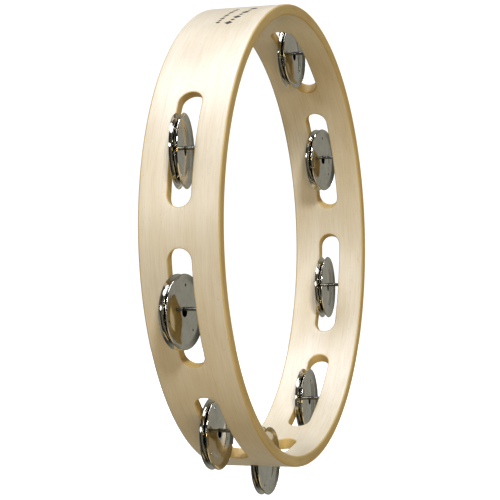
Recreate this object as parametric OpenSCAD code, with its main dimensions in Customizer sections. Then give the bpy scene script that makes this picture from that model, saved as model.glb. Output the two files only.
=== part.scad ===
// Tambourine: a round, headless, single-row hoop of bent wood.
// Eight long slots run round the hoop, and each holds a pair of stamped steel
// jingles that hang loose on a steel pin. The arc without slots is the hand grip.
// Millimetres, +Z up. The hoop stands upright with its axis along Y; its centre is the origin.

/* [Hoop] */
// Outer diameter of the wooden hoop
hoop_diameter = 254; // [150:1:360]
// Width of the hoop, rim to rim
hoop_width = 43.5; // [30:0.5:70]
// Thickness of the bent wood
wall = 6; // [4:0.1:12]
// Rounding on the four rim edges
rim_ease = 0.9; // [0.2:0.1:2]

/* [Slots] */
// Number of slots, one pair of jingles in each
pairs = 8; // [4:1:9]
// Angle between neighbouring slots
slot_pitch = 37.3; // [30:0.1:60]
// Angle of the first slot, counted from +X towards +Z
first_slot = 158.1; // [0:0.1:360]
// Length of a slot round the hoop
slot_length = 61.5; // [30:0.5:90]
// Width of a slot across the hoop
slot_width = 12.5; // [8:0.1:20]

/* [Pins] */
// Diameter of a steel pin
pin_diameter = 2; // [1.5:0.1:3]
// Depth the pin goes into the wood in front of the slot
pin_grip = 11; // [6:0.5:14]
// Length of the sunk hole behind the pin's tail, open on the rear rim
pin_sink = 1.2; // [0.5:0.1:4]

/* [Jingles] */
// Outer diameter of a jingle
jingle_diameter = 37.8; // [25:0.2:60]
// Thickness of the steel sheet
sheet = 0.4; // [0.3:0.05:1]
// Height of the turned-up lip above the flat ring
lip = 1.45; // [0.4:0.05:4]
// Radial width of the flared lip, from its fold to the edge
lip_curve = 2.6; // [1:0.1:5]
// Height of the domed middle above the flat ring
dome = 1.1; // [0:0.1:4]
// Diameter of the domed middle
dome_diameter = 24; // [12:0.5:30]
// Diameter of the hole the pin goes through
centre_hole = 5.2; // [3:0.1:8]
// Diameter of each small punched hole
punch_hole = 1.5; // [0:0.1:3]
// Distance of the punched holes from the middle
punch_ring = 13.6; // [8:0.2:16]
// Clearance between the pin and the top of the hole the jingle hangs from
hang_gap = 0.15; // [0.05:0.05:0.5]

/* [Rest position of each pair] */
// Gap between the flat rings of the two jingles of a pair
rest_gap = 0.7; // [0.3:0.1:2]
// Place of each pair along its pin, from the middle of the slot towards the rear rim
rest_along = [1.8, 2.6, 3.1, 3.2, 2.7, 3, 2.5, 2.5];
// Turn about the vertical of each pair
rest_turn = [9, -7.6, -1, 0, 3.2, 4.3, -5.5, -1];
// Turn of the front jingle of each pair about its own axis
rest_spin = [7, 75, 101, 10, 55, 100, 80, 85];

/* [Hidden] */

$fn = 96;
fine = 64;
extra = 1;
quarter = 90;
outer_r = hoop_diameter / 2;
inner_r = outer_r - wall;
pin_ring = outer_r - wall / 2;
half_width = hoop_width / 2;
half_slot = slot_width / 2;
pin_front = -half_slot - pin_grip;
pin_tail = half_width - pin_sink;
rim_r = jingle_diameter / 2;
fold_r = rim_r - lip_curve;
dome_r = dome_diameter / 2;
dome_steps = 6;
// Shape of the lip as shares of its width and height: its open face outwards, its back inwards
lip_face = [[0, 0], [0.1, 0.035], [0.31, 0.235], [0.58, 0.55], [0.9, 1]];
lip_back = [[1, 0.785], [0.67, 0.33], [0.385, -0.003], [0.14, -0.231], [0.04, -0.276]];
hole_r = centre_hole / 2;
punches = 3;
// Extra turn of the rear jingle of each pair about its own axis
back_spin = 47;
// Distance from the outer face of the flat ring of a jingle to the middle of its pair
ring_offset = sheet + rest_gap / 2;
// Drop of a jingle below the axis of its pin
hang = (centre_hole - pin_diameter) / 2 - hang_gap;
wood = [0.86, 0.75, 0.56];
plated = [0.78, 0.79, 0.80];
steel = [0.55, 0.57, 0.60];

function slot_angle(i) = first_slot + i * slot_pitch;
function pin_x(i) = pin_ring * cos(slot_angle(i));
function pin_z(i) = pin_ring * sin(slot_angle(i));

// Lays a shape drawn along +Z down along the hoop's axis, +Z to -Y
module along_axis() {
    rotate([quarter, 0, 0])
        children();
}

// Carries a shape to the slot number i
module at_slot(i) {
    rotate([0, -slot_angle(i), 0])
        children();
}

// Half of the hoop's section: a rectangle with eased corners
module hoop_section() {
    translate([inner_r, -half_width + rim_ease])
        square([wall, hoop_width - 2 * rim_ease]);
    translate([inner_r + rim_ease, -half_width])
        square([wall - 2 * rim_ease, hoop_width]);
    for (x = [inner_r + rim_ease, outer_r - rim_ease]) {
        for (y = [-half_width + rim_ease, half_width - rim_ease]) {
            translate([x, y])
                circle(r = rim_ease, $fn = fine);
        }
    }
}

// Round-ended cutter, lying along X from the inside of the hoop to the outside
module slot_cutter() {
    half_run = slot_length / 2 - half_slot;
    depth = wall * 2 + slot_width;
    for (side = [-1, 1]) {
        translate([pin_ring - depth / 2, 0, side * half_run])
            rotate([0, quarter, 0])
                cylinder(h = depth, r = half_slot);
    }
    translate([pin_ring - depth / 2, -half_slot, -half_run])
        cube([depth, slot_width, 2 * half_run]);
}

module hoop() {
    color(wood)
        difference() {
            along_axis()
                rotate_extrude($fn = 256)
                    hoop_section();
            for (i = [0:pairs - 1]) {
                at_slot(i)
                    slot_cutter();
                translate([pin_x(i), half_width + extra, pin_z(i)])
                    along_axis()
                        cylinder(h = half_width + extra - pin_front, d = pin_diameter, $fn = fine);
            }
        }
}

module pin(i) {
    color(steel)
        translate([pin_x(i), pin_tail, pin_z(i)])
            along_axis()
                cylinder(h = pin_tail - pin_front, d = pin_diameter, $fn = fine);
}

// Height of the dome's outer face at a given radius
function dome_height(r) = dome * (1 - pow(r / dome_r, 2));
// Radius number k out of dome_steps, from the hole to the foot of the dome
function dome_radius(k) = hole_r + (dome_r - hole_r) * k / dome_steps;

// Half section of a jingle: radius to the right, dome and lip standing up
module jingle_section() {
    polygon(concat(
        [for (k = [0:dome_steps]) [dome_radius(k), dome_height(dome_radius(k))]],
        [
            for (p = lip_face) [fold_r + lip_curve * p[0], lip * p[1]],
            for (p = lip_back) [fold_r + lip_curve * p[0], lip * p[1]],
        ],
        [for (k = [dome_steps:-1:0]) [dome_radius(k), dome_height(dome_radius(k)) - sheet]]
    ));
}

// One stamped jingle lying on its ring, dome and lip upwards
module jingle_blank() {
    difference() {
        rotate_extrude($fn = 128)
            jingle_section();
        for (k = [0:punches - 1]) {
            rotate([0, 0, k * 360 / punches])
                translate([punch_ring, 0, -sheet - extra])
                    cylinder(h = sheet + 2 * extra, d = punch_hole, $fn = fine);
        }
    }
}

// Hangs one jingle of pair i on its pin; side is -1 for the front one, 1 for the back one
module jingle(i, side) {
    color(plated)
        translate([pin_x(i), rest_along[i], pin_z(i) - hang])
            rotate([0, 0, rest_turn[i]])
                translate([0, side * ring_offset, 0])
                    rotate([-side * quarter, 0, 0])
                        rotate([0, 0, rest_spin[i] + (side > 0 ? back_spin : 0)])
                            jingle_blank();
}

hoop();
pin(0);  // pin_1
pin(1);  // pin_2
pin(2);  // pin_3
pin(3);  // pin_4
pin(4);  // pin_5
pin(5);  // pin_6
pin(6);  // pin_7
pin(7);  // pin_8
jingle(0, -1);  // jingle_1_front
jingle(0, 1);  // jingle_1_back
jingle(1, -1);  // jingle_2_front
jingle(1, 1);  // jingle_2_back
jingle(2, -1);  // jingle_3_front
jingle(2, 1);  // jingle_3_back
jingle(3, -1);  // jingle_4_front
jingle(3, 1);  // jingle_4_back
jingle(4, -1);  // jingle_5_front
jingle(4, 1);  // jingle_5_back
jingle(5, -1);  // jingle_6_front
jingle(5, 1);  // jingle_6_back
jingle(6, -1);  // jingle_7_front
jingle(6, 1);  // jingle_7_back
jingle(7, -1);  // jingle_8_front
jingle(7, 1);  // jingle_8_back
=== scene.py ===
"""Looks of a headless wooden tambourine: a bent hoop, its pins and its loose jingles."""

import logging
import math
from dataclasses import dataclass, field
from enum import Enum
from typing import List, Sequence, Tuple

import bmesh
import bpy
from mathutils import Matrix, Vector


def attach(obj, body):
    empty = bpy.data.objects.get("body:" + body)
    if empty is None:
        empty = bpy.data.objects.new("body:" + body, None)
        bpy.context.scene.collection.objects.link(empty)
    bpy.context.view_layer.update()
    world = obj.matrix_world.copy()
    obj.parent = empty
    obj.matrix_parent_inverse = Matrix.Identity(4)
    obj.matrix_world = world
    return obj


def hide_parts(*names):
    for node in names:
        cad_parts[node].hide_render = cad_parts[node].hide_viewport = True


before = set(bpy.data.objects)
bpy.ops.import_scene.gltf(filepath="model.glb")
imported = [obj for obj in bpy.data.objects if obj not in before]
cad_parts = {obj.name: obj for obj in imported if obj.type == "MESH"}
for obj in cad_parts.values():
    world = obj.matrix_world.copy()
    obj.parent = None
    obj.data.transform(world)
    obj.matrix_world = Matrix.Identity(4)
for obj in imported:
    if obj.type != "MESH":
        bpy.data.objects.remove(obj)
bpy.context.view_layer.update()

MM = 0.001
FULL_TURN = 2 * math.pi
QUARTER_TURN = math.pi / 2
SAME_SPOT = 0.002 * MM
log = logging.getLogger("tambourine")

BMesh = bmesh.types.BMesh
Material = bpy.types.Material
Object = bpy.types.Object
Socket = bpy.types.NodeSocket
Colour = Tuple[float, float, float]
Way = Tuple[float, float, float]
Band = Tuple[float, float]
Outline = List[Tuple[float, float]]
Row = List[Vector]
Loop = List[bmesh.types.BMVert]

WHITE: Colour = (1.0, 1.0, 1.0)
WHOLE: Band = (0.0, 1.0)


class Side(Enum):
    """Which of the two jingles of a pair is meant."""

    FRONT = -1
    BACK = 1

    @property
    def word(self) -> str:
        """The word used in node names."""
        return self.name.lower()


class WoodCut(Enum):
    """How the wood is cut where a face shows it."""

    FLAT = 0
    EDGE = 1


class MixSocket(Enum):
    """Places of the colour sockets on a Mix node."""

    FIRST = 6
    SECOND = 7
    RESULT = 2


# ---------------------------------------------------------------- nodes


@dataclass(frozen=True)
class Noise:
    """The look of one noise.

    Attributes:
        scale: how fine it is, per metre.
        detail: number of finer layers.
        rough: strength of the finer layers.
    """

    scale: float
    detail: float
    rough: float


@dataclass(frozen=True)
class Grain:
    """One layer of wood grain, noise drawn out round the hoop.

    Attributes:
        round_rate: how often it changes round the hoop, per radian.
        across_rate: how often it changes across the hoop and into the wood, per metre.
        noise: the noise it is made of.
        band: noise values where it begins to show and where it shows in full.
        share: how strongly it shows.
    """

    round_rate: float
    across_rate: float
    noise: Noise
    band: Band
    share: float = 1.0


class NodeBench:
    """Lays out the shader nodes of one tree with short calls."""

    def __init__(self, tree: bpy.types.NodeTree) -> None:
        """Takes the tree that the nodes go into."""
        self.tree = tree

    def add(self, kind: str, **settings: object) -> bpy.types.Node:
        """Adds a node and sets its properties.

        Args:
            kind: node type without the ShaderNode prefix.
            settings: properties to set on the node.

        Returns:
            The new node.
        """
        node = self.tree.nodes.new("ShaderNode" + kind)
        for key, value in settings.items():
            setattr(node, key, value)
        return node

    def put(self, socket: Socket, value: object) -> None:
        """Links a socket to an output, or sets it to a plain value."""
        if isinstance(value, Socket):
            self.tree.links.new(value, socket)
        else:
            socket.default_value = value

    def math(self, operation: str, *values: object) -> Socket:
        """Does one sum with numbers or outputs and returns its result."""
        node = self.add("Math", operation=operation)
        for socket, value in zip(node.inputs, values):
            self.put(socket, value)
        return node.outputs[0]

    def vector_math(self, operation: str, *values: object) -> bpy.types.Node:
        """Does one vector operation with vectors or outputs and returns its node."""
        node = self.add("VectorMath", operation=operation)
        for socket, value in zip(node.inputs, values):
            self.put(socket, value)
        return node

    def noise(self, vector: Socket, look: Noise, w: object = None) -> Socket:
        """Adds a noise texture, in four dimensions if w is given.

        Args:
            vector: where the noise is read.
            look: scale and layers of the noise.
            w: fourth coordinate, or None.

        Returns:
            The noise value, about 0 to 1.
        """
        node = self.add("TexNoise", noise_dimensions="3D" if w is None else "4D")
        self.put(node.inputs["Vector"], vector)
        self.put(node.inputs["Scale"], look.scale)
        self.put(node.inputs["Detail"], look.detail)
        self.put(node.inputs["Roughness"], look.rough)
        if w is not None:
            self.put(node.inputs["W"], w)
        return node.outputs[0]

    def ramp(self, value: Socket, low: Colour, high: Colour) -> Socket:
        """Turns a value of 0 to 1 into a colour between two.

        Args:
            value: the value read.
            low: colour at 0.
            high: colour at 1.

        Returns:
            The colour output.
        """
        node = self.add("ValToRGB")
        for element, colour in zip(node.color_ramp.elements, (low, high)):
            element.color = (*colour, 1.0)
        self.put(node.inputs["Fac"], value)
        return node.outputs["Color"]

    def span(self, value: object, band: Band, to: Band = WHOLE, how: str = "LINEAR") -> Socket:
        """Maps a value from one band to another, held at both ends.

        Args:
            value: the value read.
            band: low and high end of what is read.
            to: what the two ends become.
            how: interpolation between them.

        Returns:
            The mapped value.
        """
        node = self.add("MapRange", interpolation_type=how)
        self.put(node.inputs["Value"], value)
        for key, number in zip(("From Min", "From Max", "To Min", "To Max"), (*band, *to)):
            self.put(node.inputs[key], number)
        return node.outputs[0]

    def mix(self, factor: object, first: object, second: object, how: str = "MIX") -> Socket:
        """Mixes two colours.

        Args:
            factor: share of the second colour.
            first: first colour.
            second: second colour.
            how: blend type.

        Returns:
            The mixed colour output.
        """
        node = self.add("Mix", data_type="RGBA", blend_type=how)
        self.put(node.inputs["Factor"], factor)
        for place, colour in ((MixSocket.FIRST, first), (MixSocket.SECOND, second)):
            value = (*colour, 1.0) if isinstance(colour, tuple) else colour
            self.put(node.inputs[place.value], value)
        return node.outputs[MixSocket.RESULT.value]

    def bump(self, height: object, strength: float, depth: float, under: object = None) -> Socket:
        """Adds a bump on top of another.

        Args:
            height: the height read.
            strength: share of the bump used.
            depth: height of the bump in metres.
            under: the normal it is laid on, or None.

        Returns:
            The bent normal output.
        """
        node = self.add("Bump")
        self.put(node.inputs["Strength"], strength)
        self.put(node.inputs["Distance"], depth)
        self.put(node.inputs["Height"], height)
        if under is not None:
            self.put(node.inputs["Normal"], under)
        return node.outputs["Normal"]


class MaterialBench(NodeBench):
    """A node bench for one material with a Principled shader."""

    def __init__(self, name: str) -> None:
        """Starts a material of that name with its shader wired to its output."""
        self.material = bpy.data.materials.new(name)
        self.material.use_nodes = True
        super().__init__(self.material.node_tree)
        self.tree.nodes.clear()
        self.shader = self.add("BsdfPrincipled")
        self.put(self.add("OutputMaterial").inputs["Surface"], self.shader.outputs["BSDF"])
        self.place = self.add("TexCoord").outputs["Object"]

    def feed(self, socket: str, value: object) -> None:
        """Gives one socket of the shader an output or a plain value."""
        self.put(self.shader.inputs[socket], value)


class WoodBench(MaterialBench):
    """A material bench that knows how far round, across and into the hoop a point lies."""

    def __init__(self, name: str) -> None:
        """Starts a material of that name and works out the hoop's own coordinates."""
        super().__init__(name)
        parts = self.add("SeparateXYZ")
        self.put(parts.inputs[0], self.place)
        flat = self.add("CombineXYZ")
        self.put(flat.inputs["X"], parts.outputs["X"])
        self.put(flat.inputs["Z"], parts.outputs["Z"])
        self.across = parts.outputs["Y"]
        self.round_way = self.vector_math("NORMALIZE", flat.outputs[0]).outputs[0]
        self.radius = self.vector_math("LENGTH", flat.outputs[0]).outputs["Value"]

    def grain(self, grain: Grain) -> Socket:
        """Adds the noise of one layer of grain and returns its value."""
        along = self.vector_math("SCALE", self.round_way)
        self.put(along.inputs["Scale"], grain.round_rate)
        across = self.add("CombineXYZ")
        self.put(across.inputs["Y"], self.math("MULTIPLY", self.across, grain.across_rate))
        spot = self.vector_math("ADD", along.outputs[0], across.outputs[0]).outputs[0]
        depth = self.math("MULTIPLY", self.radius, grain.across_rate)
        return self.noise(spot, grain.noise, depth)


# ---------------------------------------------------------------- finishes


@dataclass(frozen=True)
class MapleFinish:
    """Pale bent maple under thin lacquer, its grain running round the hoop.

    Attributes:
        name: name of the material.
        pale: colour of the lightest wood.
        warm: colour of the ordinary wood.
        streak: colour of the darker grain streaks.
        fleck: colour of the small flecks.
        roughness: middle roughness of the lacquer.
        coat: weight of the lacquer.
        coat_roughness: roughness of the lacquer.
        grain_depth: depth of the grain.
        broad: slow change from pale to warm wood.
        fine: ordinary grain streaks.
        hair: thin grain streaks.
        flecks: short flecks.
        cloud: soft unevenness of colour and gloss.
        cloud_shade: what the cloud multiplies the wood by where it is darkest.
        even_band: noise values read for shade and gloss.
        fine_gloss: change of roughness over the fine grain.
        cloud_gloss: change of roughness over the cloud.
        fine_lift: strength of the fine grain's relief.
        hair_lift: strength of the thin streaks' relief.
    """

    name: str
    pale: Colour
    warm: Colour
    streak: Colour
    fleck: Colour
    roughness: float = 0.46
    coat: float = 0.9
    coat_roughness: float = 0.36
    grain_depth: float = 0.05 * MM
    broad: Grain = Grain(2.2, 90.0, Noise(1.0, 2.0, 0.5), (0.32, 0.68))
    fine: Grain = Grain(9.0, 1500.0, Noise(1.0, 3.0, 0.6), (0.46, 0.72), 0.45)
    hair: Grain = Grain(5.0, 3600.0, Noise(1.0, 1.0, 0.5), (0.60, 0.74), 0.40)
    flecks: Grain = Grain(70.0, 1300.0, Noise(1.0, 1.0, 0.5), (0.66, 0.76), 0.35)
    cloud: Noise = Noise(22.0, 3.0, 0.55)
    cloud_shade: Colour = (0.90, 0.89, 0.87)
    even_band: Band = (0.3, 0.7)
    fine_gloss: Band = (-0.06, 0.08)
    cloud_gloss: Band = (-0.05, 0.05)
    fine_lift: float = 0.35
    hair_lift: float = 0.25

    def make(self) -> Material:
        """Builds the material and returns it."""
        bench = WoodBench(self.name)
        fine, hair = bench.grain(self.fine), bench.grain(self.hair)
        cloud = bench.noise(bench.place, self.cloud)
        colour = bench.ramp(bench.span(bench.grain(self.broad), self.broad.band), self.warm, self.pale)
        for noise, layer, tint in (
            (fine, self.fine, self.streak),
            (hair, self.hair, self.streak),
            (bench.grain(self.flecks), self.flecks, self.fleck),
        ):
            colour = bench.mix(bench.span(noise, layer.band, (0.0, layer.share)), colour, tint)
        shade = bench.ramp(bench.span(cloud, self.even_band), self.cloud_shade, WHITE)
        bench.feed("Base Color", bench.mix(1.0, colour, shade, "MULTIPLY"))
        gloss = bench.math("ADD", bench.span(fine, self.even_band, self.fine_gloss), self.roughness)
        gloss = bench.math("ADD", gloss, bench.span(cloud, self.even_band, self.cloud_gloss))
        bench.feed("Roughness", gloss)
        bench.shader.inputs["Coat Weight"].default_value = self.coat
        bench.shader.inputs["Coat Roughness"].default_value = self.coat_roughness
        lines = bench.bump(fine, self.fine_lift, self.grain_depth)
        bench.feed("Normal", bench.bump(hair, self.hair_lift, self.grain_depth, lines))
        return bench.material


@dataclass(frozen=True)
class PlatedFinish:
    """Bright plated sheet steel with fine wear.

    Attributes:
        name: name of the material.
        bright: colour of the clean plate.
        dull: colour of the rubbed and smudged plate.
        rough: roughness of the clean and of the smudged plate.
        ripple: depth of the stamped unevenness.
        smudge: rubbed and smudged patches.
        smudge_band: noise values where a smudge begins and where it is full.
        wave: stamped unevenness.
        scratch: fine scratches.
        scratch_stretch: how the scratches are drawn out, per metre.
        scratch_band: noise values where a scratch begins and where it is full.
        scratch_rough: roughness that a scratch adds.
        scratch_lift: strength of the scratches' relief.
        scratch_depth: depth of the scratches.
    """

    name: str
    bright: Colour
    dull: Colour
    rough: Band
    ripple: float
    smudge: Noise = Noise(260.0, 4.0, 0.6)
    smudge_band: Band = (0.35, 0.7)
    wave: Noise = Noise(120.0, 1.0, 0.4)
    scratch: Noise = Noise(1.0, 2.0, 0.5)
    scratch_stretch: Way = (900.0, 9000.0, 900.0)
    scratch_band: Band = (0.45, 0.75)
    scratch_rough: float = 0.08
    scratch_lift: float = 0.08
    scratch_depth: float = 0.02 * MM

    def make(self) -> Material:
        """Builds the material and returns it."""
        bench = MaterialBench(self.name)
        smudge = bench.noise(bench.place, self.smudge)
        drawn_out = bench.vector_math("MULTIPLY", bench.place, self.scratch_stretch).outputs[0]
        scratch = bench.noise(drawn_out, self.scratch)
        bench.feed("Base Color", bench.ramp(bench.span(smudge, self.smudge_band), self.bright, self.dull))
        bench.shader.inputs["Metallic"].default_value = 1.0
        smudged = bench.span(smudge, self.smudge_band, self.rough)
        scratched = bench.span(scratch, self.scratch_band, (0.0, self.scratch_rough))
        bench.feed("Roughness", bench.math("ADD", smudged, scratched))
        uneven = bench.bump(bench.noise(bench.place, self.wave), 1.0, self.ripple)
        bench.feed("Normal", bench.bump(scratch, self.scratch_lift, self.scratch_depth, uneven))
        return bench.material


@dataclass(frozen=True)
class InkFinish:
    """Stamped dark ink that has sunk a little into the grain.

    Attributes:
        name: name of the material.
        dark: colour where the ink lies thick.
        thin: colour where the wood shows through.
        speckle: unevenness of the ink.
        thin_band: noise values where the ink begins to thin and where it is thinnest.
        rough_band: noise values read for the roughness.
        rough: roughness of thick and of thin ink.
        lift: strength of the ink's relief.
        depth: depth of the ink's relief.
    """

    name: str
    dark: Colour
    thin: Colour
    speckle: Noise = Noise(1800.0, 3.0, 0.6)
    thin_band: Band = (0.45, 0.75)
    rough_band: Band = (0.3, 0.7)
    rough: Band = (0.5, 0.7)
    lift: float = 0.2
    depth: float = 0.02 * MM

    def make(self) -> Material:
        """Builds the material and returns it."""
        bench = MaterialBench(self.name)
        speckle = bench.noise(bench.place, self.speckle)
        bench.feed("Base Color", bench.ramp(bench.span(speckle, self.thin_band), self.dark, self.thin))
        bench.feed("Roughness", bench.span(speckle, self.rough_band, self.rough))
        bench.feed("Normal", bench.bump(speckle, self.lift, self.depth))
        return bench.material


# ---------------------------------------------------------------- pieces


class Workshop:
    """Jobs that more than one piece needs."""

    @staticmethod
    def mesh(bm: BMesh, name: str) -> bpy.types.Mesh:
        """Turns a finished bmesh into a named mesh and frees it."""
        mesh = bpy.data.meshes.new(name)
        bm.to_mesh(mesh)
        bm.free()
        return mesh

    @staticmethod
    def place(name: str, mesh: bpy.types.Mesh) -> Object:
        """Puts a mesh into the scene as a named object and returns it."""
        piece = bpy.data.objects.new(name, mesh)
        bpy.context.scene.collection.objects.link(piece)
        return piece

    @staticmethod
    def rods(name: str, spots: Sequence[Matrix], radius: float, length: float, sides: int) -> Object:
        """Makes one object of several short rods, to cut holes with.

        Args:
            name: name of the object.
            spots: where each rod lies, its length along Z.
            radius: radius of the rods.
            length: length of the rods.
            sides: number of sides round a rod.

        Returns:
            The rods.
        """
        bm = bmesh.new()
        for spot in spots:
            bmesh.ops.create_cone(
                bm, cap_ends=True, segments=sides, radius1=radius, radius2=radius,
                depth=length, matrix=spot,
            )
        return Workshop.place(name, Workshop.mesh(bm, name))

    @staticmethod
    def cut(piece: Object, cutter: Object) -> None:
        """Takes the cutter out of the piece for good and deletes the cutter.

        Args:
            piece: object that is cut.
            cutter: closed object that cuts.
        """
        modifier = piece.modifiers.new("cut", "BOOLEAN")
        modifier.operation = "DIFFERENCE"
        modifier.solver = "EXACT"
        modifier.object = cutter
        graph = bpy.context.evaluated_depsgraph_get()
        done = bpy.data.meshes.new_from_object(piece.evaluated_get(graph))
        piece.modifiers.clear()
        old = piece.data
        piece.data = done
        bpy.data.meshes.remove(old)
        bpy.data.objects.remove(cutter)


@dataclass
class WoodenHoop:
    """The bent hoop with its slots, rims and pin bores.

    Attributes:
        outer_r: outer radius.
        wall: thickness of the wood.
        width: width from rim to rim.
        rim_ease: rounding of the rim edges.
        slot_ease: rounding of the slot edges.
        slot_length: length of a slot round the hoop.
        slot_width: width of a slot across the hoop.
        pairs: number of slots.
        pitch: angle between slots, in degrees.
        first: angle of the first slot, in degrees.
        pin_r: radius of a pin bore.
        pin_sink: depth of the open bore behind a pin's tail.
        bore_sides: sides round a pin bore.
        run_steps: faces along a slot's straight side.
        turn_steps: faces round an eighth of a slot's rounded ends, next to the straight sides.
        side_steps: faces round the remaining quarter, and across the hoop.
        web_steps: rows of faces from a slot to the edge of its panel.
        grip_steps: faces along the plain grip.
        ease_steps: faces round an eased edge.
        rim_steps: faces across a rim.
    """

    outer_r: float = 127.0 * MM
    wall: float = 6.0 * MM
    width: float = 43.5 * MM
    rim_ease: float = 0.9 * MM
    slot_ease: float = 0.55 * MM
    slot_length: float = 61.5 * MM
    slot_width: float = 12.5 * MM
    pairs: int = 8
    pitch: float = 37.3
    first: float = 158.1
    pin_r: float = 1.0 * MM
    pin_sink: float = 1.2 * MM
    bore_sides: int = 32
    run_steps: int = 26
    turn_steps: int = 8
    side_steps: int = 12
    web_steps: int = 6
    grip_steps: int = 70
    ease_steps: int = 4
    rim_steps: int = 4

    @property
    def inner_r(self) -> float:
        """Inner radius of the hoop."""
        return self.outer_r - self.wall

    @property
    def flat_half(self) -> float:
        """Half width of the flat faces between the eased rims."""
        return self.width / 2 - self.rim_ease

    @property
    def half_pitch(self) -> float:
        """Half the angle between two slots, in radians."""
        return math.radians(self.pitch) / 2

    @property
    def panel_steps(self) -> int:
        """Faces along one rim edge of a slot's panel."""
        return self.run_steps + 2 * self.turn_steps

    def slot_angle(self, index: int) -> float:
        """Angle of a slot's middle in radians, from +X towards +Z."""
        return math.radians(self.first + index * self.pitch)

    @staticmethod
    def place(angle: float, radius: float, y: float) -> Vector:
        """A point of the hoop from its angle, radius and place along the axis."""
        return Vector((radius * math.cos(angle), y, radius * math.sin(angle)))

    def slot_outline(self, grow: float) -> Outline:
        """Outline of a slot, widened all round.

        Args:
            grow: how far the outline stands outside the slot.

        Returns:
            Points (along, across), clockwise from the upper left, not closed.
        """
        half = self.slot_width / 2 + grow
        run = self.slot_length / 2 - self.slot_width / 2
        arc = self.arc_angles()[:-1]
        top = [(-run + 2 * run * k / self.run_steps, half) for k in range(self.run_steps)]
        right = [(run + half * math.sin(a), half * math.cos(a)) for a in arc]
        return top + right + [(-u, -y) for u, y in top + right]

    def arc_angles(self) -> List[float]:
        """Angles round one slot end, finer spaced to meet the panel's corners."""
        corner = QUARTER_TURN / 2
        angles = [corner * k / self.turn_steps for k in range(self.turn_steps)]
        angles += [corner + QUARTER_TURN * k / self.side_steps for k in range(self.side_steps)]
        angles += [3 * corner + corner * k / self.turn_steps for k in range(self.turn_steps + 1)]
        return angles

    def panel_outline(self) -> Outline:
        """Outline of the panel round one slot as (angle, across), matched to slot_outline."""
        half, high = self.half_pitch, self.flat_half
        top = [(-half + 2 * half * k / self.panel_steps, high) for k in range(self.panel_steps)]
        right = [(half, high - 2 * high * k / self.side_steps) for k in range(self.side_steps)]
        whole = top + right + [(-a, -y) for a, y in top + right]
        return whole[self.turn_steps:] + whole[: self.turn_steps]

    def mesh(self) -> bpy.types.Mesh:
        """Builds the hoop's mesh and returns it."""
        bm = bmesh.new()
        rim_angles: List[float] = []
        for index in range(self.pairs):
            rim_angles += self.add_panel(bm, self.slot_angle(index))
        rim_angles += self.add_grip(bm)
        self.add_rims(bm, sorted(rim_angles))
        bmesh.ops.remove_doubles(bm, verts=bm.verts, dist=SAME_SPOT)
        bmesh.ops.recalc_face_normals(bm, faces=bm.faces)
        return Workshop.mesh(bm, "hoop_wood")

    @staticmethod
    def skin(bm: BMesh, rows: Sequence[Row], cut: WoodCut, closed: bool = True) -> None:
        """Fills the bands between rows of points with four-sided faces.

        Args:
            bm: mesh to add to.
            rows: rows of points, all of one length.
            cut: how the wood shows on these faces.
            closed: True if each row closes on itself.
        """
        for first, second in zip(rows, rows[1:]):
            a, b = ([bm.verts.new(p) for p in row] for row in (first, second))
            count = len(a)
            for k in range(count if closed else count - 1):
                n = (k + 1) % count
                face = bm.faces.new((a[k], a[n], b[n], b[k]))
                face.material_index = cut.value
                face.smooth = True

    def add_panel(self, bm: BMesh, middle: float) -> List[float]:
        """Adds the wood round one slot, from sector edge to sector edge.

        Args:
            bm: mesh to add to.
            middle: angle of the slot's middle.

        Returns:
            The angles of the panel's points along its rim edges.
        """
        for radius in (self.outer_r, self.inner_r):
            self.add_web(bm, middle, radius)
        self.add_slot_wall(bm, middle)
        half = self.half_pitch
        return [middle - half + 2 * half * k / self.panel_steps for k in range(self.panel_steps)]

    def add_web(self, bm: BMesh, middle: float, radius: float) -> None:
        """Adds one face of the wood round a slot.

        Args:
            bm: mesh to add to.
            middle: angle of the slot's middle.
            radius: radius of the face.
        """
        slot = [(math.asin(u / radius), y) for u, y in self.slot_outline(self.slot_ease)]
        panel = self.panel_outline()
        rows = []
        for step in range(self.web_steps + 1):
            t = step / self.web_steps
            rows.append([
                self.place(middle + a + (b - a) * t, radius, y + (z - y) * t)
                for (a, y), (b, z) in zip(slot, panel)
            ])
        self.skin(bm, rows, WoodCut.FLAT)

    def add_slot_wall(self, bm: BMesh, middle: float) -> None:
        """Adds the wall of a slot with its eased edges.

        Args:
            bm: mesh to add to.
            middle: angle of the slot's middle.
        """
        ease = self.slot_ease
        turns = [QUARTER_TURN * k / self.ease_steps for k in range(self.ease_steps + 1)]
        profile = [(ease * (1 - math.sin(turn)), ease * (1 - math.cos(turn))) for turn in turns]
        levels = [(grow, self.outer_r - drop) for grow, drop in profile]
        levels += [(grow, self.inner_r + drop) for grow, drop in reversed(profile)]
        rows = [
            [self.place(middle + math.asin(u / radius), radius, y) for u, y in self.slot_outline(grow)]
            for grow, radius in levels
        ]
        self.skin(bm, rows, WoodCut.EDGE)

    def add_grip(self, bm: BMesh) -> List[float]:
        """Adds the plain arc between the last slot and the first.

        Args:
            bm: mesh to add to.

        Returns:
            The angles of the arc's points along its rim edges.
        """
        start = self.slot_angle(self.pairs - 1) + self.half_pitch
        end = self.slot_angle(0) - self.half_pitch + FULL_TURN
        angles = [start + (end - start) * k / self.grip_steps for k in range(self.grip_steps + 1)]
        for radius in (self.outer_r, self.inner_r):
            rows = [
                [self.place(a, radius, self.flat_half * (2 * k / self.side_steps - 1)) for a in angles]
                for k in range(self.side_steps + 1)
            ]
            self.skin(bm, rows, WoodCut.FLAT, closed=False)
        return angles[:-1]

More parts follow.
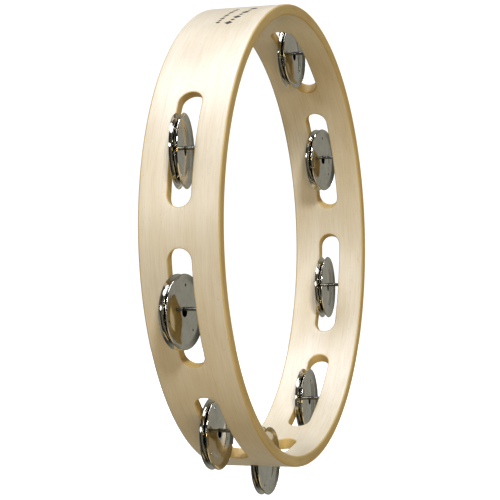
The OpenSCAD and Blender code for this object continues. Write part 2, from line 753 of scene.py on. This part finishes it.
    def add_rims(self, bm: BMesh, angles: List[float]) -> None:
        """Adds the two rims with their eased edges.

        Args:
            bm: mesh to add to.
            angles: angles of the points along the rim edges.
        """
        ease = self.rim_ease
        turns = [QUARTER_TURN * k / self.ease_steps for k in range(self.ease_steps + 1)]
        section = [(ease * (1 - math.cos(turn)), ease * math.sin(turn)) for turn in turns]
        flat = self.wall - 2 * ease
        levels = [(self.outer_r - inward, out) for inward, out in section]
        for k in range(1, self.rim_steps):
            levels.append((self.outer_r - ease - flat * k / self.rim_steps, ease))
        levels += [(self.inner_r + inward, out) for inward, out in reversed(section)]
        for side in Side:
            rows = [
                [self.place(a, radius, side.value * (self.flat_half + out)) for a in angles]
                for radius, out in levels
            ]
            self.skin(bm, rows, WoodCut.EDGE)

    def bore_cutter(self) -> Object:
        """Builds the short rods that open the pin bores on the rear rim and returns them."""
        ring = self.outer_r - self.wall / 2
        spots = [
            Matrix.Translation(self.place(self.slot_angle(index), ring, self.width / 2))
            @ Matrix.Rotation(QUARTER_TURN, 4, "X")
            for index in range(self.pairs)
        ]
        return Workshop.rods("bore_cutter", spots, self.pin_r, 2 * self.pin_sink, self.bore_sides)

    def build(self, flat: Material, edge: Material) -> Object:
        """Builds the hoop, dresses it and puts it in place of the plain one.

        Args:
            flat: wood of the faces.
            edge: wood of the rims and slot walls.

        Returns:
            The hoop.
        """
        hoop = Workshop.place("hoop_bent_wood", self.mesh())
        cutter = self.bore_cutter()
        for piece in (hoop, cutter):
            piece.data.materials.append(flat)
            piece.data.materials.append(edge)
        for polygon in cutter.data.polygons:
            polygon.material_index = WoodCut.EDGE.value
        Workshop.cut(hoop, cutter)
        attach(hoop, "hoop")
        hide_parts("hoop")
        return hoop


@dataclass
class Jingle:
    """One stamped jingle with its dome, ring, lip and holes.

    Attributes:
        radius: outer radius.
        sheet: thickness of the sheet.
        lip: height of the lip.
        lip_curve: width of the flared lip, from its fold to the edge.
        dome: height of the domed middle.
        dome_r: radius of the dome's foot.
        crown_r: radius of the dome's flat top.
        hole_r: radius of the centre hole.
        punch_r: radius of a punched hole.
        punch_ring: distance of the punched holes from the middle.
        punches: number of punched holes.
        punch_sides: sides round a punched hole.
        punch_reach: length of a punch, in sheet thicknesses.
        spokes: faces round the jingle.
        dome_steps: faces down the dome's flank.
        dome_ease: share of the flank that each rounded end takes.
        lip_steps: faces up the lip.
        lip_bend: how much steeper the lip is at its edge than on average.
        edge_steps: faces round the lip's edge.
        ring_shares: where the flat ring's faces end, as shares of its width.
        crease: angle over which an edge looks sharp, in degrees.
    """

    radius: float = 18.9 * MM
    sheet: float = 0.4 * MM
    lip: float = 1.45 * MM
    lip_curve: float = 2.6 * MM
    dome: float = 1.1 * MM
    dome_r: float = 13.2 * MM
    crown_r: float = 3.1 * MM
    hole_r: float = 2.6 * MM
    punch_r: float = 0.75 * MM
    punch_ring: float = 13.6 * MM
    punches: int = 3
    punch_sides: int = 24
    punch_reach: float = 8.0
    spokes: int = 160
    dome_steps: int = 20
    dome_ease: float = 0.1
    lip_steps: int = 7
    lip_bend: float = 0.22
    edge_steps: int = 5
    ring_shares: Tuple[float, ...] = (0.12, 0.5, 0.93)
    crease: float = 50.0

    def face_line(self) -> Outline:
        """Outer face of the sheet as (radius, height), from the centre hole to the lip."""
        points = [(self.hole_r, self.dome)]
        for k in range(self.dome_steps + 1):
            t = k / self.dome_steps
            r = self.crown_r + (self.dome_r - self.crown_r) * t
            points.append((r, self.dome * (1 - self.eased(t))))
        fold = self.radius - self.lip_curve
        for share in self.ring_shares:
            points.append((self.dome_r + (fold - self.dome_r) * share, 0.0))
        steepest = math.atan(self.lip / self.lip_curve * (1 + self.lip_bend))
        run = self.lip_curve - self.sheet * math.sin(steepest)
        for k in range(1, self.lip_steps + 1):
            t = k / self.lip_steps
            points.append((fold + run * t, self.lip * t * (1 - self.lip_bend * (1 - t))))
        return points

    def eased(self, t: float) -> float:
        """A straight ramp from 0 to 1 with its two ends rounded, read at share t."""
        ease = self.dome_ease
        if t < ease:
            return t * t / (2 * ease * (1 - ease))
        if t > 1 - ease:
            return 1 - (1 - t) ** 2 / (2 * ease * (1 - ease))
        return (t - ease / 2) / (1 - ease)

    def section(self) -> Outline:
        """Closed outline of the sheet as (radius, height)."""
        face = self.face_line()
        under = []
        for k, (r, z) in enumerate(face):
            before = face[max(k - 1, 0)]
            after = face[min(k + 1, len(face) - 1)]
            run, rise = after[0] - before[0], after[1] - before[1]
            size = math.hypot(run, rise)
            under.append((r + self.sheet * rise / size, z - self.sheet * run / size))
        edge = []
        (r0, z0), (r1, z1) = face[-1], under[-1]
        for k in range(1, self.edge_steps):
            turn = math.pi * k / self.edge_steps
            blend = (1 - math.cos(turn)) / 2
            bulge = self.sheet / 2 * math.sin(turn)
            edge.append((r0 + (r1 - r0) * blend, z0 + (z1 - z0) * blend + bulge))
        return face + edge + list(reversed(under))

    def mesh(self) -> bpy.types.Mesh:
        """Turns the sheet's outline round its middle and returns the mesh."""
        bm = bmesh.new()
        turns = [FULL_TURN * k / self.spokes for k in range(self.spokes)]
        rings: List[Loop] = []
        for r, z in self.section():
            r = min(r, self.radius)
            rings.append([bm.verts.new((r * math.cos(a), r * math.sin(a), z)) for a in turns])
        for first, second in zip(rings, rings[1:] + rings[:1]):
            for k in range(self.spokes):
                n = (k + 1) % self.spokes
                bm.faces.new((first[k], first[n], second[n], second[k]))
        bmesh.ops.recalc_face_normals(bm, faces=bm.faces)
        return Workshop.mesh(bm, "jingle_sheet")

    def blank(self) -> bpy.types.Mesh:
        """Builds one jingle with its punched holes and returns its mesh."""
        piece = Workshop.place("jingle_blank", self.mesh())
        spots = [
            Matrix.Rotation(FULL_TURN * k / self.punches, 4, "Z")
            @ Matrix.Translation((self.punch_ring, 0.0, 0.0))
            for k in range(self.punches)
        ]
        reach = self.punch_reach * self.sheet
        Workshop.cut(piece, Workshop.rods("punch", spots, self.punch_r, reach, self.punch_sides))
        mesh = piece.data
        bpy.data.objects.remove(piece)
        mesh.polygons.foreach_set("use_smooth", [True] * len(mesh.polygons))
        mesh.set_sharp_from_angle(angle=math.radians(self.crease))
        return mesh


@dataclass
class JinglePairs:
    """The sixteen jingles hung on their pins.

    Attributes:
        jingle: the stamped sheet every one is made from.
        pin_ring: distance of the pins from the middle of the hoop.
        hang: drop of a jingle's middle below its pin.
        ring_offset: distance from a pair's middle to a ring's outer face.
        along: place of each pair along its pin, in millimetres.
        turn: turn of each pair about the vertical, in degrees.
        spin: turn of each front jingle about its own axis, in degrees.
        back_spin: extra spin of the back jingle, in degrees.
    """

    jingle: Jingle = field(default_factory=Jingle)
    pin_ring: float = 124.0 * MM
    hang: float = 1.45 * MM
    ring_offset: float = 0.75 * MM
    along: Tuple[float, ...] = (1.8, 2.6, 3.1, 3.2, 2.7, 3.0, 2.5, 2.5)
    turn: Tuple[float, ...] = (9.0, -7.6, -1.0, 0.0, 3.2, 4.3, -5.5, -1.0)
    spin: Tuple[float, ...] = (7.0, 75.0, 101.0, 10.0, 55.0, 100.0, 80.0, 85.0)
    back_spin: float = 47.0

    def seat(self, index: int, side: Side, angle: float) -> Matrix:
        """Where one jingle hangs at rest.

        Args:
            index: number of the pair, from 0.
            side: which jingle of the pair.
            angle: angle of the slot, in radians.

        Returns:
            The matrix from the blank to its place.
        """
        spot = Vector((
            self.pin_ring * math.cos(angle),
            self.along[index] * MM,
            self.pin_ring * math.sin(angle) - self.hang,
        ))
        extra = self.back_spin if side is Side.BACK else 0.0
        return (
            Matrix.Translation(spot)
            @ Matrix.Rotation(math.radians(self.turn[index]), 4, "Z")
            @ Matrix.Translation((0.0, side.value * self.ring_offset, 0.0))
            @ Matrix.Rotation(-side.value * QUARTER_TURN, 4, "X")
            @ Matrix.Rotation(math.radians(self.spin[index] + extra), 4, "Z")
        )

    def build(self, hoop: WoodenHoop, plate: Material) -> List[Object]:
        """Hangs every jingle on its pin.

        Args:
            hoop: the hoop that says where the slots are.
            plate: finish of the sheet.

        Returns:
            The jingles.
        """
        blank = self.jingle.blank()
        blank.materials.clear()
        blank.materials.append(plate)
        made = []
        for index in range(hoop.pairs):
            for side in Side:
                node = f"jingle_{index + 1}_{side.word}"
                piece = Workshop.place(node + "_sheet", blank.copy())
                piece.data.transform(self.seat(index, side, hoop.slot_angle(index)))
                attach(piece, node)
                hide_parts(node)
                made.append(piece)
        bpy.data.meshes.remove(blank)
        return made


@dataclass(frozen=True)
class MarkRow:
    """One row of small stamped lozenges.

    Attributes:
        start: angle where the row begins, in degrees.
        across: place of the first mark along the axis.
        slant: drift along the axis for each unit round the hoop.
        pitch: distance from one mark to the next.
        count: how many marks there are.
        size: length and height of a large mark.
        small: size of every second mark, as a share of a large one.
    """

    start: float
    across: float
    slant: float
    pitch: float
    count: int
    size: Tuple[float, float]
    small: float


@dataclass
class Ornament:
    """Two rows of stamped lozenges on the outside of the grip.

    Attributes:
        rows: the rows of marks.
        proud: height of the ink over the wood.
        sunk: depth of the ink in the wood.
        slices: number of slices in a mark.
        blunt: share of a mark's length cut off at each tip.
    """

    rows: Tuple[MarkRow, ...] = (
        MarkRow(117.0, -3.4 * MM, -0.22, 4.4 * MM, 7, (4.8 * MM, 4.6 * MM), 0.6),
        MarkRow(116.4, 2.9 * MM, -0.1, 2.9 * MM, 10, (3.0 * MM, 2.8 * MM), 0.7),
    )
    proud: float = 0.03 * MM
    sunk: float = 0.06 * MM
    slices: int = 6
    blunt: float = 0.04

    def mark(
        self,
        bm: BMesh,
        hoop: WoodenHoop,
        angle: float,
        across: float,
        size: Tuple[float, float],
    ) -> None:
        """Adds one lozenge, a thin closed plate that follows the hoop.

        Args:
            bm: mesh to add to.
            hoop: the hoop it lies on.
            angle: angle of its middle, in radians.
            across: place of its middle along the axis.
            size: its length round the hoop and its height along the axis.
        """
        length, height = size
        rings: List[Loop] = []
        for k in range(self.slices + 1):
            t = self.blunt + (1 - 2 * self.blunt) * k / self.slices
            turn = angle + length * (t - 0.5) / hoop.outer_r
            half = height * (0.5 - abs(t - 0.5))
            corners = ((-half, -self.sunk), (half, -self.sunk), (half, self.proud), (-half, self.proud))
            rings.append([
                bm.verts.new(hoop.place(turn, hoop.outer_r + lift, across + step))
                for step, lift in corners
            ])
        for first, second in zip(rings, rings[1:]):
            for k in range(len(first)):
                n = (k + 1) % len(first)
                bm.faces.new((first[k], first[n], second[n], second[k]))
        bm.faces.new(rings[0])
        bm.faces.new(list(reversed(rings[-1])))

    def build(self, hoop: WoodenHoop, ink: Material) -> Object:
        """Stamps every row on the hoop.

        Args:
            hoop: the hoop they lie on.
            ink: finish of the marks.

        Returns:
            The marks as one piece.
        """
        bm = bmesh.new()
        for row in self.rows:
            for k in range(row.count):
                along = k * row.pitch
                share = row.small if k % 2 else 1.0
                angle = math.radians(row.start) - along / hoop.outer_r
                size = (row.size[0] * share, row.size[1] * share)
                self.mark(bm, hoop, angle, row.across + row.slant * along, size)
        bmesh.ops.recalc_face_normals(bm, faces=bm.faces)
        marks = Workshop.place("stamped_marks", Workshop.mesh(bm, "stamped_marks"))
        marks.data.materials.append(ink)
        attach(marks, "hoop")
        return marks


@dataclass
class Pins:
    """The steel pins, which keep their own shape and get a finish.

    Attributes:
        steel: finish of the wire.
    """

    steel: Material

    def dress(self, hoop: WoodenHoop) -> List[Object]:
        """Gives every pin its finish.

        Args:
            hoop: the hoop that says how many pins there are.

        Returns:
            The pins.
        """
        pins = [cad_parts[f"pin_{index + 1}"] for index in range(hoop.pairs)]
        for pin in pins:
            pin.data.materials.clear()
            pin.data.materials.append(self.steel)
        return pins


# ---------------------------------------------------------------- studio


@dataclass(frozen=True)
class Lamp:
    """One large soft lamp, far away.

    Attributes:
        name: name of the lamp.
        towards: direction from the hoop to the lamp.
        strength: light on a face that looks at it, as a share of white.
        spread: how wide the lamp looks from the hoop, in degrees.
        colour: its colour.
    """

    name: str
    towards: Way
    strength: float
    spread: float
    colour: Colour

    def light(self) -> Object:
        """Sets the lamp up and returns it."""
        data = bpy.data.lights.new(self.name, "SUN")
        data.energy = self.strength * math.pi
        data.angle = math.radians(self.spread)
        data.color = self.colour
        lamp = bpy.data.objects.new(self.name, data)
        lamp.rotation_mode = "QUATERNION"
        lamp.rotation_quaternion = (-Vector(self.towards)).to_track_quat("-Z", "Y")
        bpy.context.scene.collection.objects.link(lamp)
        return lamp


@dataclass(frozen=True)
class Panel:
    """One large soft panel on the wall of the room.

    Attributes:
        towards: direction of its middle.
        starts: cosine of the angle from its middle at which it starts to glow.
        full: cosine of the angle at which it glows in full.
        strength: its brightness.
    """

    towards: Way
    starts: float
    full: float
    strength: float


@dataclass
class Studio:
    """Camera, pale floor and soft light.

    Attributes:
        azimuth: the camera's way round the hoop, in degrees.
        elevation: the camera's height over the horizon, in degrees.
        roll: the camera's lean, in degrees.
        distance: distance from the middle of the hoop.
        pan: turn of the camera to the side of the hoop's middle, in degrees.
        tilt: turn of the camera above it, in degrees.
        lens: focal length in millimetres.
        sensor: width of the camera's sensor in millimetres.
        floor_drop: how far the floor lies below the middle of the hoop.
        floor_radius: radius of the floor.
        floor_sides: sides round the floor.
        floor_colour: colour of the floor.
        floor_roughness: roughness of the floor.
        floor_glow: light that the floor gives off, to stay white under soft light.
        room_dim: brightness of the room between its panels.
        room_colour: colour of the room's light.
        backdrop: brightness of the backdrop where it is seen directly.
        lamps: the lamps.
        panels: the soft panels round the room.
    """

    azimuth: float = -70.66
    elevation: float = 0.846
    roll: float = -1.604
    distance: float = 0.9488
    pan: float = -0.4986
    tilt: float = -0.4578
    lens: float = 122.64
    sensor: float = 36.0
    floor_drop: float = 0.30
    floor_radius: float = 3.0
    floor_sides: int = 96
    floor_colour: Colour = (0.95, 0.95, 0.94)
    floor_roughness: float = 0.8
    floor_glow: float = 0.4
    room_dim: float = 0.015
    room_colour: Colour = (1.0, 0.98, 0.86)
    backdrop: float = 1.1
    lamps: Tuple[Lamp, ...] = (
        Lamp("left_box", (-0.70, -0.40, 0.59), 0.60, 11.0, (0.98, 1.0, 1.02)),
        Lamp("overhead_box", (-0.22, 0.33, 0.92), 0.38, 28.0, (0.96, 1.0, 1.15)),
        Lamp("top_box", (0.12, 0.03, 0.99), 0.40, 20.0, (0.96, 1.0, 1.15)),
        Lamp("rear_box", (-0.89, 0.33, 0.31), 0.17, 12.0, WHITE),
        Lamp("front_box", (-0.9, -0.42, 0.04), 0.13, 10.0, (1.0, 0.70, 0.28)),
        Lamp("table_bounce", (-0.3, -0.35, -0.89), 0.28, 60.0, (1.0, 0.78, 0.42)),
    )
    panels: Tuple[Panel, ...] = (
        Panel(towards=(1.0, 0.0, 0.0), starts=0.1, full=0.85, strength=0.31),
        Panel(towards=(0.0, 1.0, 0.0), starts=0.25, full=0.85, strength=0.34),
        Panel(towards=(-0.45, -0.78, -0.42), starts=0.84, full=0.97, strength=0.22),
        Panel(towards=(0.1, -1.0, 0.0), starts=0.6, full=0.95, strength=0.08),
    )

    def camera(self) -> Object:
        """Sets the camera up and returns it."""
        az, el, roll = (math.radians(v) for v in (self.azimuth, self.elevation, self.roll))
        back = Vector((math.sin(az) * math.cos(el), -math.cos(az) * math.cos(el), math.sin(el)))
        right = Vector((math.cos(az), math.sin(az), 0.0))
        up = back.cross(right)
        side = right * math.cos(roll) + up * math.sin(roll)
        rise = up * math.cos(roll) - right * math.sin(roll)
        ahead = -back
        pan, tilt = math.radians(self.pan), math.radians(self.tilt)
        x_axis = side * math.cos(pan) - ahead * math.sin(pan)
        ahead = side * math.sin(pan) + ahead * math.cos(pan)
        y_axis = rise * math.cos(tilt) - ahead * math.sin(tilt)
        ahead = rise * math.sin(tilt) + ahead * math.cos(tilt)
        data = bpy.data.cameras.new("camera")
        data.lens = self.lens
        data.sensor_width = self.sensor
        camera = bpy.data.objects.new("camera", data)
        bpy.context.scene.collection.objects.link(camera)
        turn = Matrix((x_axis, y_axis, -ahead)).transposed().to_4x4()
        camera.matrix_world = Matrix.Translation(back * self.distance) @ turn
        bpy.context.scene.camera = camera
        return camera

    def floor(self) -> Object:
        """Lays the pale floor under the hoop, which is held above it, and returns it."""
        bm = bmesh.new()
        bmesh.ops.create_circle(bm, cap_ends=True, segments=self.floor_sides, radius=self.floor_radius)
        floor = Workshop.place("floor", Workshop.mesh(bm, "floor"))
        floor.location.z = -self.floor_drop
        floor.visible_diffuse = False
        floor.visible_glossy = False
        floor.visible_shadow = False
        bench = MaterialBench("floor_paper")
        bench.feed("Base Color", (*self.floor_colour, 1.0))
        bench.feed("Roughness", self.floor_roughness)
        bench.feed("Emission Color", (*WHITE, 1.0))
        bench.feed("Emission Strength", self.floor_glow)
        floor.data.materials.append(bench.material)
        return floor

    def surroundings(self) -> bpy.types.World:
        """Sets the room, dark with soft panels and white where it is seen directly, and returns it."""
        world = bpy.data.worlds.new("studio")
        world.use_nodes = True
        bench = NodeBench(world.node_tree)
        way = bench.add("TexCoord").outputs["Generated"]
        strength: object = self.room_dim
        for panel in self.panels:
            middle = Vector(panel.towards).normalized()
            facing = bench.vector_math("DOT_PRODUCT", way, middle).outputs["Value"]
            glow = bench.span(facing, (panel.starts, panel.full), (0.0, panel.strength), "SMOOTHSTEP")
            strength = bench.math("ADD", strength, glow)
        room = bench.tree.nodes["Background"]
        seen = bench.add("Background")
        for background, colour, power in (
            (room, self.room_colour, strength),
            (seen, WHITE, self.backdrop),
        ):
            bench.put(background.inputs["Color"], (*colour, 1.0))
            bench.put(background.inputs["Strength"], power)
        blend = bench.add("MixShader")
        sources = (bench.add("LightPath").outputs["Is Camera Ray"], room.outputs[0], seen.outputs[0])
        for socket, source in zip(blend.inputs, sources):
            bench.put(socket, source)
        bench.put(bench.tree.nodes["World Output"].inputs["Surface"], blend.outputs[0])
        bpy.context.scene.world = world
        return world

    def build(self) -> None:
        """Sets up the whole studio."""
        self.camera()
        self.floor()
        for lamp in self.lamps:
            lamp.light()
        self.surroundings()
        bpy.context.scene.view_settings.view_transform = "Standard"


# ---------------------------------------------------------------- the tambourine


MAPLE_FACE = MapleFinish(
    "maple_face",
    pale=(0.80, 0.725, 0.575),
    warm=(0.73, 0.63, 0.45),
    streak=(0.60, 0.48, 0.31),
    fleck=(0.48, 0.35, 0.21),
)
MAPLE_EDGE = MapleFinish(
    "maple_edge",
    pale=(0.70, 0.52, 0.22),
    warm=(0.60, 0.42, 0.14),
    streak=(0.44, 0.29, 0.10),
    fleck=(0.32, 0.21, 0.09),
    roughness=0.55,
    coat=0.1,
)
BRIGHT_NICKEL = PlatedFinish(
    "bright_nickel",
    bright=(0.68, 0.66, 0.60),
    dull=(0.56, 0.54, 0.48),
    rough=(0.04, 0.11),
    ripple=0.2 * MM,
)
PIN_WIRE = PlatedFinish(
    "pin_wire",
    bright=(0.20, 0.215, 0.22),
    dull=(0.12, 0.13, 0.135),
    rough=(0.25, 0.4),
    ripple=0.02 * MM,
)
STAMP_INK = InkFinish("stamp_ink", dark=(0.012, 0.010, 0.008), thin=(0.09, 0.065, 0.045))


def main() -> None:
    """Builds the tambourine piece by piece and reports each."""
    logging.basicConfig(level=logging.INFO, format="%(name)s: %(message)s")
    hoop = WoodenHoop()
    log.info("hoop: %s", hoop.build(MAPLE_FACE.make(), MAPLE_EDGE.make()).name)
    log.info("marks: %s", Ornament().build(hoop, STAMP_INK.make()).name)
    for piece in JinglePairs().build(hoop, BRIGHT_NICKEL.make()):
        log.info("jingle: %s", piece.name)
    for piece in Pins(PIN_WIRE.make()).dress(hoop):
        log.info("pin: %s", piece.name)
    Studio().build()
    log.info("studio set")


if __name__ == "__main__":
    main()
